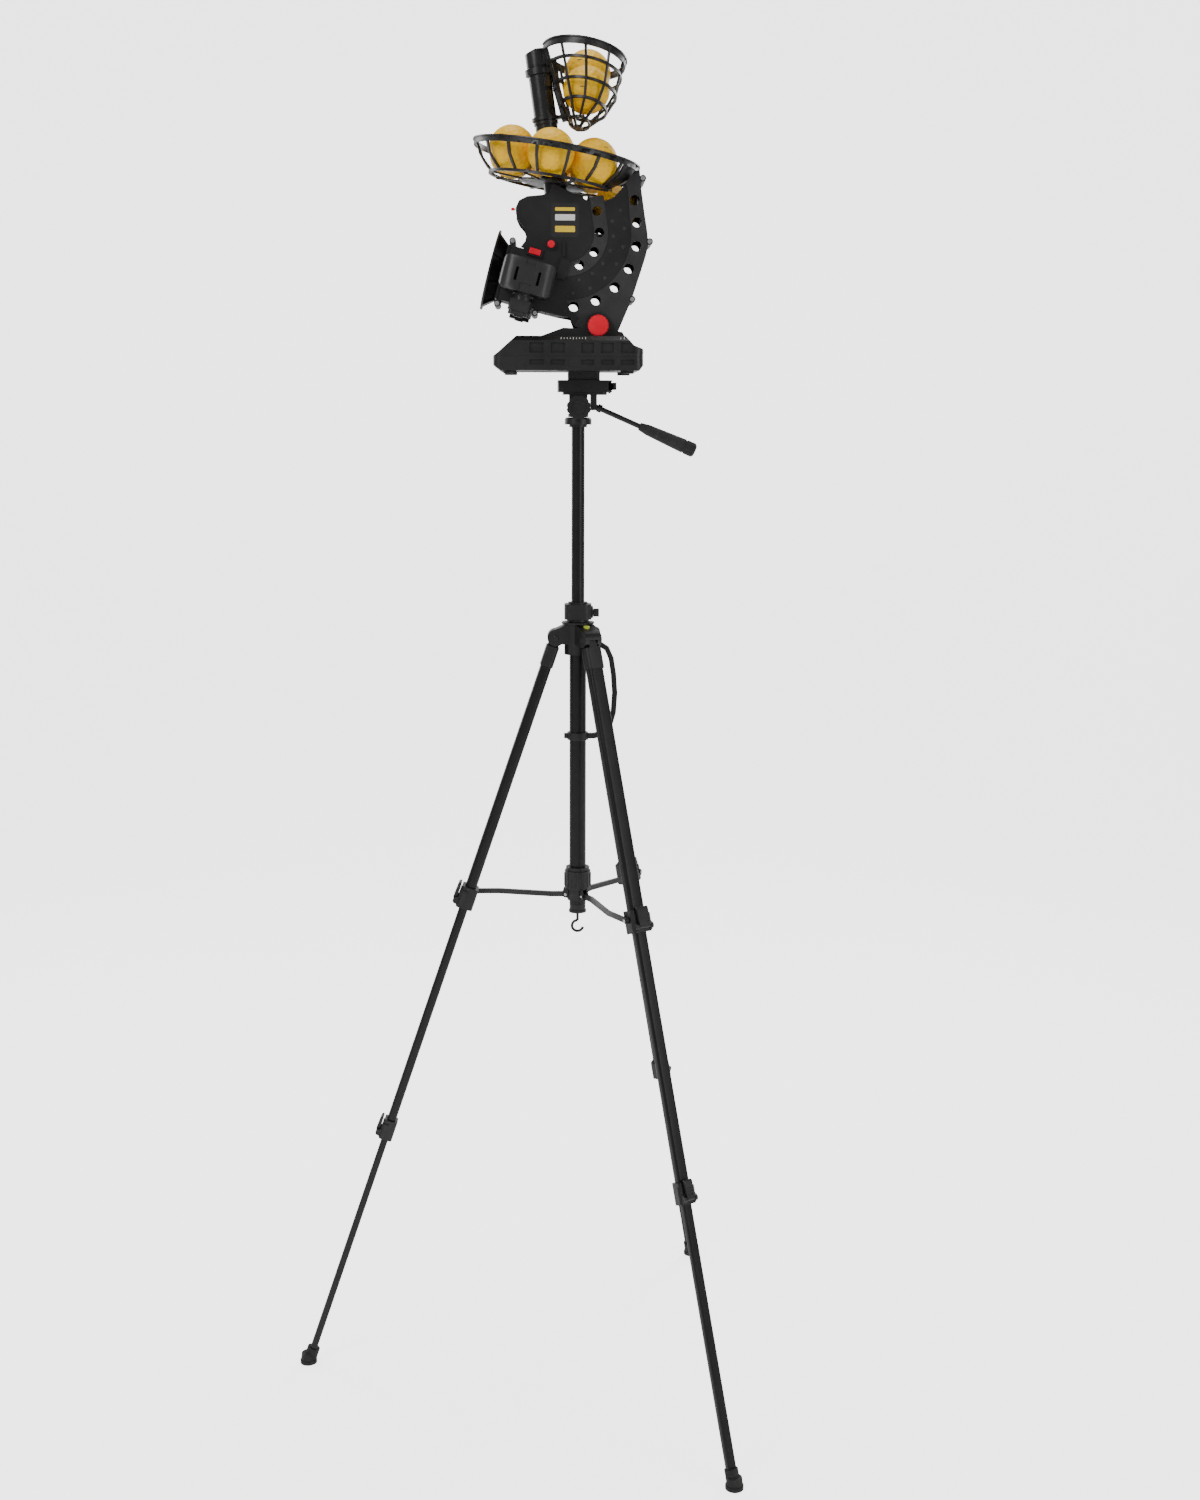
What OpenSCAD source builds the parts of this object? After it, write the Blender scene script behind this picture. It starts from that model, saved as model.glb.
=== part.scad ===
// Baseball pitching machine: a wheel-fed pitching head with two ball cages,
// standing on a folding three-leg stand. Millimetres, +Z up, pitch goes towards -X.
// The origin is on the floor, at the middle of the footprint box.

/* [Stand] */
// Length of one leg from its hinge to the floor
leg_len = 1309; // [1250:1:1340]
// Angle of an open leg from the vertical, degrees
leg_spread = 18.77; // [18:0.01:19.4]
// Distance of the leg hinges from the column axis
hinge_r = 35; // [34:1:37]
// Distance along the leg to the upper clamp
clamp_upper = 448; // [440:1:456]
// Distance along the leg to the lower clamp
clamp_lower = 867; // [850:1:880]
// Radius of the fixed column tube
column_r = 13.25; // [13.25:0.05:13.25]
// Radius of the sliding column tube
mast_r = 10.25; // [9.5:0.05:10.25]

/* [Head] */
// Radius of the path that a ball follows round the track
path_r = 80; // [80:1:80]
// Upward angle of the barrel, degrees
barrel_tilt = 15; // [14:0.5:16]
// Radius of a pitching wheel
wheel_r = 34.5; // [33:0.5:34.5]
// Thickness of a pitching wheel
wheel_w = 28; // [20:1:28]
// Distance of each wheel centre from the middle of the ball path
wheel_y = 66; // [65:0.5:67]
// Radius of a practice ball
ball_r = 35; // [33:0.5:35]
// Outer radius of the muzzle flange
flange_r = 61; // [55:1:62]
// Radius of the through holes in the track sides
track_hole_r = 7.5; // [6:0.5:8]

/* [Cages] */
// Outer radius of the round tray rim
tray_r = 128; // [124:1:130]
// Slope of the tray, degrees
tray_tilt = 9.2; // [8:0.1:10]
// Slope of the upper basket rim towards its low end, degrees
basket_tilt = 9.5; // [8:0.5:11]
// Radius of the cage rods
rod_r = 2.2; // [1.8:0.1:2.4]

/* [Base] */
// Half width of the base box
base_hw = 80; // [76:1:84]
// Wall of the base box
base_wall = 5; // [4:0.5:6]

/* [Hidden] */
$fn = 48;

foot_r = hinge_r + leg_len * sin(leg_spread);
hinge_z = leg_len * cos(leg_spread);
col_x = foot_r / 4;          // puts the footprint box's middle on the origin
az_left = 180;
az_front = -60;
az_rear = 60;
hub_z = 819;                 // brace arm pivots, stand open
arm_r = 20;                  // pivot radius on the hub
arm_len = 159;
top_z = 1653;                // top of the camera plate
tilt_z = 1598;               // tilt axis of the pan head
hx = -20;                    // track centre from the column axis
hz = 1857;
knob_u = 49;                 // head pivot from the track centre
knob_w = -137;
lean = 8.5;                  // lean of the feed chute
bs = sin(barrel_tilt);
bc = cos(barrel_tilt);
bx = -path_r * bs;           // where the arc meets the barrel
bw = -path_r * bc;
wheel_s = 38;                // wheel centre along the barrel
barrel_s = 75;               // end of the shells along the barrel

blk = [0.07, 0.07, 0.075];
dark = [0.11, 0.11, 0.115];
grey = [0.2, 0.2, 0.21];

// ---------- shared shapes ----------
function arc(cx, cy, r, a0, a1, n) = [for (i = [0:n]) let (a = a0 + (a1 - a0) * i / n) [cx + r * cos(a), cy + r * sin(a)]];
function rrect(w, h, r, n = 4) = concat(arc(w/2 - r, h/2 - r, r, 0, 90, n), arc(-w/2 + r, h/2 - r, r, 90, 180, n),
  arc(-w/2 + r, -h/2 + r, r, 180, 270, n), arc(w/2 - r, -h/2 + r, r, 270, 360, n));
function sector(a0, a1, r) = concat([[0, 0]], arc(0, 0, r, a0, a1, 8));
function nrm(p, i) = let (a = p[max(i - 1, 0)], b = p[min(i + 1, len(p) - 1)], d = b - a) [-d[1], d[0]] / norm(d);
function strap(p, d) = concat([for (i = [0:len(p) - 1]) p[i] + d * nrm(p, i)],
  [for (i = [len(p) - 1:-1:0]) p[i] - d * nrm(p, i)]);
function oval(c, rx, ry, n = 32) = [for (i = [0:n - 1]) [c + rx * cos(360 * i / n), ry * sin(360 * i / n)]];

// a flat shape drawn in X-Z, given thickness from y0 to y1
module along_y(y0, y1) translate([0, y1, 0]) rotate([90, 0, 0]) linear_extrude(y1 - y0) children();
module ycyl(x, z, r, y0, y1) translate([x, y1, z]) rotate([90, 0, 0]) cylinder(r = r, h = y1 - y0);
module bar(a, b, r, n = 8) {
  v = b - a;
  translate(a) rotate([0, acos(v[2] / norm(v)), atan2(v[1], v[0])]) cylinder(r = r, h = norm(v), $fn = n);
}
module column() translate([col_x, 0, 0]) children();
module leg(az) column() rotate([0, 0, az]) translate([hinge_r, 0, hinge_z]) rotate([0, -leg_spread, 0]) children();
module tube(w, h, r, wall, z0, z1) translate([0, 0, z0]) difference() {
  linear_extrude(z1 - z0) polygon(rrect(w, h, r));
  translate([0, 0, -1]) linear_extrude(z1 - z0 + 2) polygon(rrect(w - 2 * wall, h - 2 * wall, max(r - wall, 0.8)));
}

// ---------- stand: top ----------
module shoulder_arm() {
  difference() {
    union() {
      along_y(-15, 15) polygon([[4, hinge_z - 10], [hinge_r, hinge_z - 10], [hinge_r + 5, hinge_z], [hinge_r + 3, hinge_z + 12.5], [hinge_r - 6, hinge_z + 16.5], [20, hinge_z + 21], [4, hinge_z + 22]]);
      ycyl(hinge_r, hinge_z, 13.5, -15, 15);
    }
    ycyl(hinge_r, hinge_z, 10, -7.4, 7.4);
    translate([hinge_r - 10, -7.4, hinge_z - 40]) cube([60, 14.8, 40]);
  }
  ycyl(hinge_r, hinge_z, 3, -14.9, 14.9);
}
module shoulder() color(blk) column() difference() {
  union() {
    for (a = [az_left, az_front, az_rear]) rotate([0, 0, a]) shoulder_arm();
    translate([0, 0, hinge_z - 27]) cylinder(r = 21.5, h = 50);
    translate([0, 0, hinge_z + 22]) cylinder(r = 26, h = 2.5);
  }
  translate([0, 0, hinge_z - 30]) cylinder(r = column_r, h = 70);
  rotate([0, 0, az_front]) translate([26, 0, hinge_z + 13]) cylinder(r = 5.1, h = 20);
}
module outer_column_tube() color(blk) column() difference() {
  translate([0, 0, 802]) cylinder(r = column_r, h = hinge_z + 25 - 802);
  translate([0, 0, 801]) cylinder(r = column_r - 1.5, h = hinge_z + 27 - 801);
}
module column_end_plug() color(dark) column() difference() {
  union() {
    translate([0, 0, 789]) cylinder(r = 13, h = 13);
    translate([0, 0, 802]) cylinder(r = 11.7, h = 5);
    translate([0, 0, 789]) cylinder(r = 14.2, h = 4);
  }
  translate([0, 0, 788]) cylinder(r = 2.3, h = 12);
}
module weight_hook() color(blk) column() {
  translate([0, 0, 774]) cylinder(r = 2.2, h = 25);
  translate([0, 0, 765]) rotate([90, 0, 0]) rotate([0, 0, 90]) rotate_extrude(angle = 255) translate([9, 0]) circle(r = 2.2);
}
module carry_handle() color(blk) column() {
  along_y(-5, 5) polygon(strap([[23.5, hinge_z - 13], [35, hinge_z - 11], [46, hinge_z - 18], [53, hinge_z - 34], [57, hinge_z - 60], [59, hinge_z - 90], [57, hinge_z - 120], [51, hinge_z - 142], [40, hinge_z - 155], [26, hinge_z - 159], [16, hinge_z - 159]], 4.2));
  translate([0, 0, hinge_z - 165]) difference() {
    union() {
      cylinder(r = 17, h = 12);
      translate([-22, -4, 2]) cube([8, 8, 8]);
    }
    translate([0, 0, -1]) cylinder(r = column_r, h = 14);
  }
}
module bubble_level() color([0.55, 0.7, 0.1]) column() rotate([0, 0, az_front]) translate([26, 0, hinge_z + 13]) {
  cylinder(r = 5, h = 6.4);
  translate([0, 0, 6.4]) cylinder(r1 = 5, r2 = 4, h = 1);
}
module column_lock_collar() color(dark) column() difference() {
  union() {
    translate([0, 0, hinge_z + 25]) cylinder(r = 17.5, h = 4);
    translate([0, 0, hinge_z + 29]) linear_extrude(24) polygon(rrect(43, 38, 12, 5));
    translate([0, 0, hinge_z + 53]) cylinder(r = 15.5, h = 3);
    translate([15, -7, hinge_z + 31]) cube([9, 14, 18]);
  }
  translate([0, 0, hinge_z + 20]) cylinder(r = mast_r + 0.1, h = 45);
  translate([12, 0, hinge_z + 39]) rotate([0, 90, 0]) cylinder(r = 2.5, h = 20);
}
module column_lock_knob() color(blk) column() translate([0, 0, hinge_z + 39]) rotate([0, 90, 0]) {
  translate([0, 0, 16]) cylinder(r = 2.45, h = 9);
  translate([0, 0, 24.4]) difference() {
    cylinder(r = 6.5, h = 9);
    for (a = [0:45:315]) rotate([0, 0, a]) translate([7.3, 0, -1]) cylinder(r = 1.5, h = 12);
  }
}

// ---------- stand: braces ----------
module brace_hub() color(dark) column() difference() {
  union() {
    translate([0, 0, hub_z + 10]) cylinder(r = 21, h = 30);
    translate([0, 0, hub_z + 40]) cylinder(r = 19, h = 6);
    translate([0, 0, hub_z - 9]) cylinder(r = 16.8, h = 19);
    for (a = [az_left, az_front, az_rear]) rotate([0, 0, a]) {
      for (s = [-1, 1]) translate([0, s * 4.75 - 1.35, 0]) rotate([90, 0, 0]) translate([0, 0, -2.7]) linear_extrude(2.7) union() {
        translate([arm_r, hub_z]) circle(r = 5);
        polygon([[14, hub_z - 7], [arm_r, hub_z - 5], [arm_r + 4.8, hub_z + 1], [arm_r + 2, hub_z + 10.5], [14, hub_z + 10.5]]);
      }
      ycyl(arm_r, hub_z, 2, -5.9, 5.9);
    }
    for (a = [0:20:340]) rotate([0, 0, a]) translate([20.6, 0, hub_z + 14]) cylinder(r = 1.4, h = 22);
  }
  translate([0, 0, hub_z - 20]) cylinder(r = column_r + 0.1, h = 80);
  for (a = [az_left, az_front, az_rear]) rotate([0, 0, a]) difference() {
    translate([14.6, -3.35, hub_z - 12]) cube([20, 6.7, 20]);
    ycyl(arm_r, hub_z, 2, -6, 6);
  }
}
module brace_arm(az) color(grey) column() rotate([0, 0, az]) difference() {
  union() {
    translate([0, 0, hub_z - 4]) linear_extrude(8) polygon([[arm_r, -3], [arm_r + 22, -3], [arm_r + 108, -23.5], [arm_r + 160, -23.5], [arm_r + 160, -18.7], [arm_r + 109, -18.7], [arm_r + 23, 3], [arm_r, 3]]);
    ycyl(arm_r, hub_z, 4, -3, 3);
    ycyl(arm_r + 160, hub_z, 5, -23.5, -18.7);
    ycyl(arm_r + 160, hub_z, 3, -25.5, -23.5);
  }
  ycyl(arm_r, hub_z, 2.05, -4, 4);
  translate([arm_r + 14, -2, hub_z - 6]) linear_extrude(8.5) polygon([[0, 0.6], [9, 0.6], [92, -19.2], [92, -18], [9, 3.2], [0, 3.2]]);
}
module brace_arm_left() brace_arm(az_left);
module brace_arm_front() brace_arm(az_front);
module brace_arm_rear() brace_arm(az_rear);

// ---------- stand: legs ----------
// a clamp collar centred on z, its lever on the outer side
module clamp_collar(z, w, d, h, inner_w, inner_d) translate([0, 0, z]) difference() {
  union() {
    translate([-d/2, 0, -h/2]) translate([d/2, 0, 0]) linear_extrude(h) polygon(rrect(d, w, 4));
    translate([0, 0, -h/2 + 2]) linear_extrude(h - 9) polygon([[2, -w/2 - 1.8], [d/2 - 3, -w/2 - 1.8], [d/2 + 1, -w/2 + 2], [d/2 + 1, w/2 - 2], [d/2 - 3, w/2 + 1.8], [2, w/2 + 1.8]]);
    for (s = [-1, 1]) translate([0, s * (w/2 - 3.6) - 2.2, 0]) rotate([90, 0, 0]) translate([0, 0, -4.4]) linear_extrude(4.4) polygon([[d/2 - 2, -h/2 + 3], [d/2 + 6, -h/2 + 4.5], [d/2 + 8, -h/2 + 7], [d/2 + 8, -h/2 + 11], [d/2 + 6, -h/2 + 13], [d/2 - 2, -h/2 + 18]]);
  }
  translate([0, 0, -h]) linear_extrude(2 * h) polygon(rrect(inner_d, inner_w, 2.5));
  translate([d/2 + 0.9, -w/2 + 5.8, -h/2 - 1]) cube([20, w - 11.6, h + 2]);
  ycyl(d/2 + 4.6, -h/2 + 9, 1.6, -w, w);
}
// a flip lever hinged at the clamp's lower ears, lying up against the collar
module flip_lever(z, w, d, h) translate([0, 0, z]) {
  ycyl(d/2 + 4.6, -h/2 + 9, 1.55, -w/2 + 1.6, w/2 - 1.6);
  ycyl(d/2 + 4.6, -h/2 + 9, 3.3, -w/2 + 6.6, w/2 - 6.6);
  difference() {
    along_y(-w/2 + 6.6, w/2 - 6.6) polygon([[d/2 + 2.4, -h/2 + 9], [d/2 + 7.6, -h/2 + 8], [d/2 + 8.2, -h/2 + 14], [d/2 + 7, h/2 + 1], [d/2 + 5, h/2 + 3.5], [d/2 + 2.4, h/2 + 3.5]]);
    translate([d/2 + 6.8, -w/2 + 9, -h/2 + 15]) cube([4, w - 18, 1.6]);
    translate([d/2 + 6.8, -w/2 + 9, -h/2 + 19.5]) cube([4, w - 18, 1.6]);
    translate([d/2 + 6.8, -w/2 + 9, -h/2 + 24]) cube([4, w - 18, 1.6]);
  }
}
module leg_upper(az) color(blk) leg(az) {
  difference() {
    union() {
      ycyl(0, 0, 9, -7, 7);
      translate([-8.5, -7, -17]) cube([17, 14, 17]);
      translate([0, 0, -48]) linear_extrude(33.2) polygon(rrect(21, 29, 6));
    }
    ycyl(0, 0, 3.05, -10, 10);
    translate([0, 0, -50]) linear_extrude(30) polygon(rrect(15, 22.6, 4));
  }
  tube(18, 26, 6, 1.5, -clamp_upper + 4, -48);
  clamp_collar(-clamp_upper, 33, 27, 36, 20.9, 14.9);
}
module leg_middle(az) color(blk) leg(az) {
  tube(14.4, 20.4, 4.6, 1.2, -clamp_lower + 4, -392);
  clamp_collar(-clamp_lower, 27, 22, 34, 16.5, 11.7);
}
module leg_lower(az) color(blk) {
  leg(az) tube(11.2, 16, 3.6, 1.2, -leg_len + 16, -clamp_lower + 62);
  column() rotate([0, 0, az]) {
    difference() {
      union() {
        translate([foot_r, 0, 0]) cylinder(r = 14, h = 6);
        translate([foot_r, 0, 6]) cylinder(r1 = 13, r2 = 11.5, h = 12);
      }
      translate([foot_r, 0, -1]) cylinder(r = 8, h = 2.5);
    }
    translate([hinge_r, 0, hinge_z]) rotate([0, -leg_spread, 0]) translate([0, 0, -leg_len + 11]) difference() {
      cylinder(r = 10.6, h = 18);
      translate([0, 0, 5]) linear_extrude(20) polygon(rrect(11.2, 16, 3.6));
    }
  }
}
module leg_left_upper() leg_upper(az_left);
module leg_front_upper() leg_upper(az_front);
module leg_rear_upper() leg_upper(az_rear);
module leg_left_middle() leg_middle(az_left);
module leg_front_middle() leg_middle(az_front);
module leg_rear_middle() leg_middle(az_rear);
module leg_left_lower() leg_lower(az_left);
module leg_front_lower() leg_lower(az_front);
module leg_rear_lower() leg_lower(az_rear);
module upper_lever(az) color(dark) leg(az) flip_lever(-clamp_upper, 33, 27, 36);
module lower_lever(az) color(dark) leg(az) flip_lever(-clamp_lower, 27, 22, 34);
module leg_left_upper_lever() upper_lever(az_left);
module leg_front_upper_lever() upper_lever(az_front);
module leg_rear_upper_lever() upper_lever(az_rear);
module leg_left_lower_lever() lower_lever(az_left);
module leg_front_lower_lever() lower_lever(az_front);
module leg_rear_lower_lever() lower_lever(az_rear);

// ---------- mast and pan head ----------
module inner_column_tube() color(blk) column() difference() {
  translate([0, 0, 1090]) cylinder(r = mast_r, h = 1568 - 1090);
  translate([0, 0, 1089]) cylinder(r = mast_r - 1.4, h = 460);
}
module pan_base() color(blk) column() {
  translate([0, 0, 1568]) cylinder(r = 14, h = 4);
  translate([0, 0, 1572]) cylinder(r = 21, h = 8);
  translate([0, 0, 1580]) cylinder(r1 = 21, r2 = 19, h = 3);
  translate([0, 0, 1583]) cylinder(r = 6, h = 10);
}
module pan_body() color(blk) column() difference() {
  union() {
    translate([0, 0, 1583.4]) cylinder(r = 15.8, h = 5);
    translate([-13.5, -16, 1588]) cube([27, 32, 21.5]);
  }
  translate([0, 0, 1583]) cylinder(r = 6.05, h = 10.4);
  ycyl(0, tilt_z, 4.05, -20, 20);
}
module tilt_head() color(blk) column() difference() {
  union() {
    for (s = [-1, 1]) {
      translate([0, s * 20.2, 0]) ycyl(0, tilt_z, 13.8, -3.8, 3.8);
      translate([-13.8, s * 20.2 - 3.8, tilt_z]) cube([27.6, 7.6, 22]);
    }
    ycyl(0, tilt_z, 4, -17, 17);
    translate([19.5, -24, 1594]) cube([9, 48, 24]);
    translate([10, 0, 1617.5]) linear_extrude(4) polygon(rrect(68, 52, 8));
    translate([10, 0, 1621.5]) linear_extrude(18) polygon(rrect(84, 58, 9));
  }
  translate([8.5, 0, 1631]) linear_extrude(12) polygon(rrect(50, 44, 3));
  ycyl(0, tilt_z, 3, -30, -18);
  translate([26, 0, 1600]) rotate([0, 113.5, 0]) translate([0, 0, -20]) cylinder(r = 4, h = 40);
  translate([46, -30, 1624]) cube([12, 44, 13]);
  translate([49, 9, 1624]) cylinder(r = 5.1, h = 13);
  translate([49, 9, 1600]) cylinder(r = 2.05, h = 60);
}
module tilt_lock_knob() color(dark) column() {
  ycyl(0, tilt_z, 2.95, -24.5, -18.5);
  ycyl(0, tilt_z, 9, -30, -24.4);
  difference() {
    ycyl(0, tilt_z, 18.5, -45, -30);
    for (a = [0:30:330]) ycyl(19.6 * cos(a), tilt_z + 19.6 * sin(a), 2.3, -46, -29);
    ycyl(0, tilt_z, 12, -46, -43.5);
  }
  ycyl(0, tilt_z, 5, -44.4, -43.4);
}
module camera_plate() color(dark) column() {
  difference() {
    union() {
      translate([8.5, 0, 1631]) linear_extrude(9) polygon(rrect(49.2, 43.2, 3));
      translate([8.5, 0, 1640]) linear_extrude(13) polygon(rrect(49, 50, 5));
    }
    translate([0, 0, 1630]) cylinder(r = 7, h = 6);
  }
  translate([0, 0, 1653]) cylinder(r = 3.1, h = 9);
}
module plate_lever() color(blk) column() {
  translate([49, 9, 1624.6]) cylinder(r = 4.5, h = 11.8);
  translate([49, 9, 1620]) cylinder(r = 2, h = 19);
  translate([0, 0, 1625]) linear_extrude(11) polygon([[46.5, 7], [50, 2], [52.5, -4], [53.2, -16], [54, -23], [58.5, -23], [58.8, -14], [57.2, -2], [54, 7], [52, 12], [48, 12]]);
}
module pan_handle_rod() color(grey) column() translate([26, 0, 1600]) rotate([0, 113.5, 0]) {
  translate([0, 0, -4]) cylinder(r = 4, h = 152);
  translate([0, 0, 4.4]) cylinder(r = 6.2, h = 7);
}
module pan_handle_grip() color(blk) column() translate([26, 0, 1600]) rotate([0, 113.5, 0]) difference() {
  union() {
    translate([0, 0, 76]) cylinder(r1 = 6, r2 = 8.5, h = 14);
    translate([0, 0, 90]) cylinder(r1 = 8.5, r2 = 11, h = 62);
    translate([0, 0, 152]) cylinder(r = 10, h = 3);
    translate([0, 0, 155]) cylinder(r = 11.2, h = 13);
    translate([0, 0, 168]) cylinder(r1 = 11.2, r2 = 8, h = 3);
  }
  translate([0, 0, 70]) cylinder(r = 4.05, h = 80);
  for (a = [0:30:330]) rotate([0, 0, a]) translate([11.9, 0, 94]) cylinder(r = 1.3, h = 56);
  for (a = [0:30:330]) rotate([0, 0, a]) translate([12, 0, 150]) cylinder(r = 1.6, h = 30);
}

// ---------- base box ----------
module base_outline(z0, z1) intersection() {
  children(0);
  translate([-16.5, 0, z0]) linear_extrude(z1 - z0) polygon(rrect(227, 2 * base_hw, 12, 4));
  translate([-200, 0, 0]) rotate([90, 0, 90]) linear_extrude(400) polygon([[-base_hw, 1640], [base_hw, 1640], [base_hw, 1697], [base_hw - 7, 1704], [-base_hw + 7, 1704], [-base_hw, 1697]]);
}
module side_windows(z0, z1) for (w = [[-75, -54], [-43, -22], [3, 22], [33, 52], [63, 83]]) for (s = [-1, 1])
  translate([w[0], s * base_hw - 3.2, z0]) cube([w[1] - w[0], 6.4, z1 - z0]);
module base_lower_shell() color(blk) column() difference() {
  base_outline(1653, 1673.8) along_y(-90, 90) polygon([[-119, 1653], [91, 1653], [97, 1661], [97, 1673.8], [-130, 1673.8], [-130, 1661]]);
  difference() {
    translate([-16.5, 0, 1656]) linear_extrude(30) polygon(rrect(227 - 2 * base_wall - 4, 2 * base_hw - 2 * base_wall, 8));
    translate([0, 0, 1650]) cylinder(r = 12, h = 18);
    for (x = [-40, 80], s = [-1, 1]) translate([x, s * 64, 1650]) cylinder(r = 5, h = 30);
  }
  translate([0, 0, 1650]) cylinder(r = 3.15, h = 13);
  side_windows(1661.5, 1669);
  translate([-114, -34, 1650]) cube([66, 68, 8]);
  ycyl(-117, 1655.6, 1.6, -36, 36);
  translate([-122, -34.3, 1650]) cube([9, 68.6, 7.6]);
  for (x = [-113, -44], s = [-1, 1]) translate([x - 4, s * 48 - 12, 1650]) cube([8, 24, 4]);
}
module base_upper_shell() color(blk) column() difference() {
  union() {
    difference() {
      base_outline(1674, 1710) along_y(-90, 90) polygon([[-130, 1674], [97, 1674], [97, 1685], [83, 1690], [70, 1704], [-95, 1704], [-122, 1680]]);
      along_y(-base_hw + base_wall, base_hw - base_wall) polygon([[-122, 1670], [91, 1670], [91, 1681.5], [80.5, 1686], [68, 1700.5], [-94, 1700.5], [-115, 1682]]);
    }
    difference() {
      translate([-31, -45.5, 1686.5]) cube([103, 91, 15]);
      translate([-60, -50, 1700]) cube([29, 100, 10]);
    }
  }
  translate([-28, -42.7, 1689.5]) cube([97, 85.4, 30]);
  side_windows(1679, 1694);
  for (x = [-88, -70]) translate([x, -20, 1702.5]) cube([8, 40, 4]);
}
module base_feet() color(dark) column() for (x = [-105, 73], s = [-1, 1]) translate([x, s * 62, 0]) {
  translate([0, 0, 1648.5]) cylinder(r = 10, h = 4.5);
}
module battery_door() color(dark) column() {
  ycyl(-117, 1655.6, 1.5, -35.5, 35.5);
  difference() {
    translate([-117.4, -33.6, 1653.4]) cube([69, 67.2, 3]);
    for (x = [-66:5:-56]) translate([x, -16, 1652]) cube([2, 32, 2.2]);
  }
  translate([-52, -8, 1653.4]) cube([3.2, 16, 6]);
}
module battery_pack() color([0.75, 0.55, 0.15]) column() {
  for (x = [-96, -61], s = [-1, 1]) {
    ycyl(x, 1675.5, 16.5, s > 0 ? 1 : -60, s > 0 ? 60 : -1);
    ycyl(x, 1675.5, 4.5, s > 0 ? 60 : -62.5, s > 0 ? 62.5 : -60);
  }
}
module tilt_saddle() color(blk) column() {
  for (s = [-1, 1]) difference() {
    along_y(s > 0 ? 43 : -49, s > 0 ? 49 : -43) {
      polygon([[-60, 1704], [-24, 1717], [10, 1716], [16, 1704]]);
      polygon([[5, 1704], [8, 1722], [50, 1722], [57, 1712], [66, 1711], [70, 1704]]);
      translate([29, 1720]) circle(r = 20);
    }
    translate([-100, s * 46 - 10, 1690]) cube([200, 20, 14]);
  }
  ycyl(29, 1720, 4, -57, 52);
}
module tilt_knob() color([0.85, 0.05, 0.1]) column() difference() {
  union() {
    ycyl(29, 1720, 10, -53, -49.4);
    ycyl(29, 1720, 16, -61, -53);
    ycyl(29, 1720, 14.5, -63, -61);
  }
  ycyl(29, 1720, 4.05, -57.3, -49);
  for (a = [0:20:340]) ycyl(29 + 16.8 * cos(a), 1720 + 16.8 * sin(a), 1.5, -61.5, -52);
}

// ---------- pitching head ----------
module head() translate([col_x + hx, 0, hz]) children();
module barrel(s) head() translate([bx - bc * s, 0, bw + bs * s]) rotate([0, -90 + barrel_tilt, 0]) children();
module wheel_at(side) head() translate([bx - bc * wheel_s, side * wheel_y, bw + bs * wheel_s]) rotate([0, barrel_tilt, 0]) children();

// a point along the barrel, d above its centre line
function bp(s, d) = [bx - bc * s + bs * d, bw + bs * s + bc * d];
// a point up the feed chute, d to the right of its centre line
function cp(s, d) = [path_r * cos(lean) - s * sin(lean) + d * cos(lean), path_r * sin(lean) + s * cos(lean) + d * sin(lean)];
boss_at = [[116, 80], [127, -12], [101, -97], [-80, -12], [-104, -104], [-47, -118]];
boss_root = [[100, 76], [112, -10], [88, -88], [-77, -27], [-96, -88], [-44, -104]];
outer_holes = concat([for (i = [0:5]) [109 * cos(8.5 - 18.4 * i), 109 * sin(8.5 - 18.4 * i)]], [[104, 48]]);
inner_holes = concat([for (i = [0:2]) [51 * cos(1 - 33.5 * i), 51 * sin(1 - 33.5 * i)]], [[47, 32]]);
pip_rows = concat([for (i = [0:5]) [72 * cos(14 - 17.5 * i), 72 * sin(14 - 17.5 * i)]], [for (i = [0:6]) [89 * cos(22 - 17.5 * i), 89 * sin(22 - 17.5 * i)]]);

head_pts = concat([bp(barrel_s, -41), bp(0, -41), [-14, -121], [8, -125], [12, -136], [30, -146], [62, -148], [79, -147],
  [100, -98], [112, -62], [121, -34], [125, -16], [123, 4], [119, 28], [114, 62], [111, 92]],
  [[103, 90], [92, 76], [82, 62], [72, 52], [60, 47], [46, 47], [38, 45], [-19, 72], [-26, 56], [-58, 53], [-70, 47], [-75, 37], [-75, 27], [-70, 16], [-62, 7], [-59, -2], [-61, -12], [-68, -21]],
  [bp(50, 41), bp(barrel_s, 41)]);

// one half of the head's side, drawn between y0 (inner face) and y1 (outer face)
module side_plate(y0, y1) {
  along_y(y0, y1) polygon(head_pts);
  ycyl(knob_u, knob_w, 14, y0, y1);
  for (i = [3:5]) along_y(y0, y1) polygon(strap([boss_at[i], boss_root[i]], 2.4));
}
module track_bands(y0, y1) {
  intersection() {
    difference() { ycyl(0, 0, 64, y0, y1); ycyl(0, 0, 43, y0 - 1, y1 + 1); }
    along_y(y0 - 0.5, y1 + 0.5) polygon(sector(-96, lean, 200));
  }
  along_y(y0, y1) polygon([cp(-3, -37), cp(-3, -16), cp(46, -16), cp(46, -37)]);
  difference() {
    intersection() {
      along_y(y0, y1) polygon(head_pts);
      along_y(y0 - 0.5, y1 + 0.5) polygon([[20, -127], [0, -99], [60, -50], [97, 12], [94, 60], [88, 81], [140, 100], [160, -60], [90, -160], [28, -160], [14, -134]]);
    }
    ycyl(0, 0, 99, y0 - 1, y1 + 1);
    ycyl(knob_u, knob_w, 19, y0 - 1, y1 + 1);
  }
}
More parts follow.
